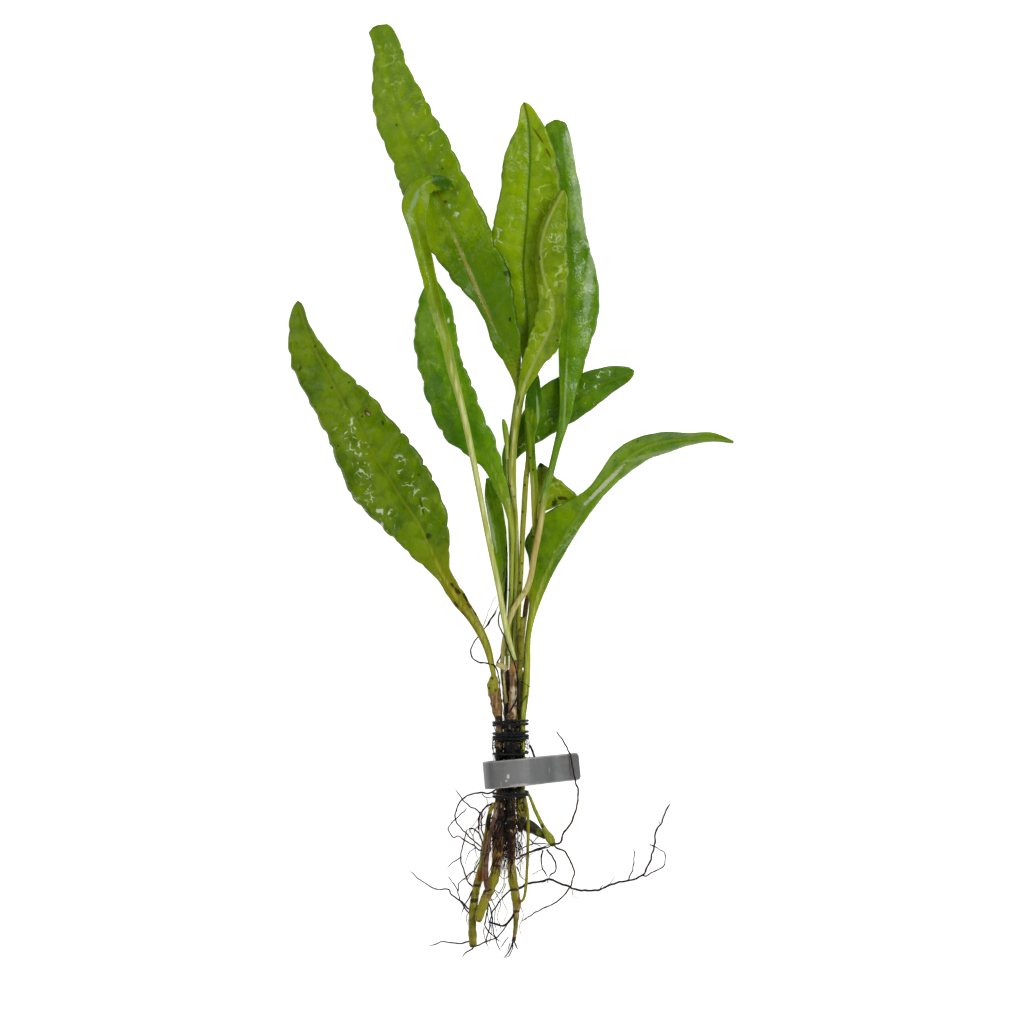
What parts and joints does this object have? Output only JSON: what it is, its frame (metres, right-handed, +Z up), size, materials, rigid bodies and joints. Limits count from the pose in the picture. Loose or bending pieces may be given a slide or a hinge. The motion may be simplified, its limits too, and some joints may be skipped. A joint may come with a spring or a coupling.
{
  "type": "java fern",
  "caption": "Java fern clump laid flat: long leaves on slim stalks rise from rhizomes bound with thread and a bent lead plant weight, above a spray of fine roots.",
  "frame": {"origin": "centre of the bounding box's footprint, at the height of the surface the plant lies on", "axes": "+Y from the roots towards the leaf tips along the plant's length, +X to the right as seen from above, +Z up from the surface"},
  "size_m": [0.1205, 0.2537, 0.0155],
  "materials": {
    "leaf": "wet, smooth green blade with fine netted veins",
    "pale_stalk": "smooth pale yellow-green stalk",
    "rhizome": "knobbly yellow-green to tan rind with brown rings",
    "old_stem": "dull brown, fibrous",
    "root": "dark brown to black, thin and wiry",
    "thread": "black twisted thread",
    "lead": "dull grey lead, brushed along its length, lightly scratched"
  },
  "bodies": {
    "root": {"leaf_left": "leaf", "leaf_tall": "leaf", "leaf_inner": "leaf", "leaf_back": "leaf", "leaf_sheen": "leaf", "leaf_curled": "leaf", "leaf_low": "leaf", "leaf_twisted": "leaf", "leaf_crinkled": "leaf", "leaf_narrow": "leaf", "frond_young": "leaf", "leaf_dark": "leaf", "leaf_thin": "leaf", "leaf_stalked": "pale_stalk", "stalk_yellow": "pale_stalk", "rhizome_left": "rhizome", "rhizome_fork": "rhizome", "rhizome_middle": "rhizome", "rhizome_right": "rhizome", "rhizome_cross": "rhizome", "stem_olive": "rhizome", "branch_green": "rhizome", "stem_old": "old_stem", "rhizome_back": "old_stem", "branch_woody": "old_stem", "thread_upper": "thread", "thread_middle": "thread", "thread_waist": "thread", "thread_lower": "thread", "thread_end": "thread", "lead_strip": "lead", "root_bow": "root", "root_crown_hair": "root", "root_crown_loop": "root", "root_end_cross": "root", "root_end_left": "root", "root_end_long": "root", "root_end_right": "root", "root_inner_long": "root", "root_inner_short": "root", "root_inner_top": "root", "root_left_arc": "root", "root_left_bow": "root", "root_left_outer": "root", "root_left_red": "root", "root_left_twig": "root", "root_left_upper": "root", "root_left_wave": "root", "root_long": "root", "root_long_hook": "root", "root_long_twig": "root", "root_low_cross": "root", "root_low_long": "root", "root_low_short": "root", "root_low_teal": "root", "root_over_weight": "root", "root_right_inner": "root", "root_right_outer": "root", "root_right_upper": "root"}
  },
  "joints": []
}
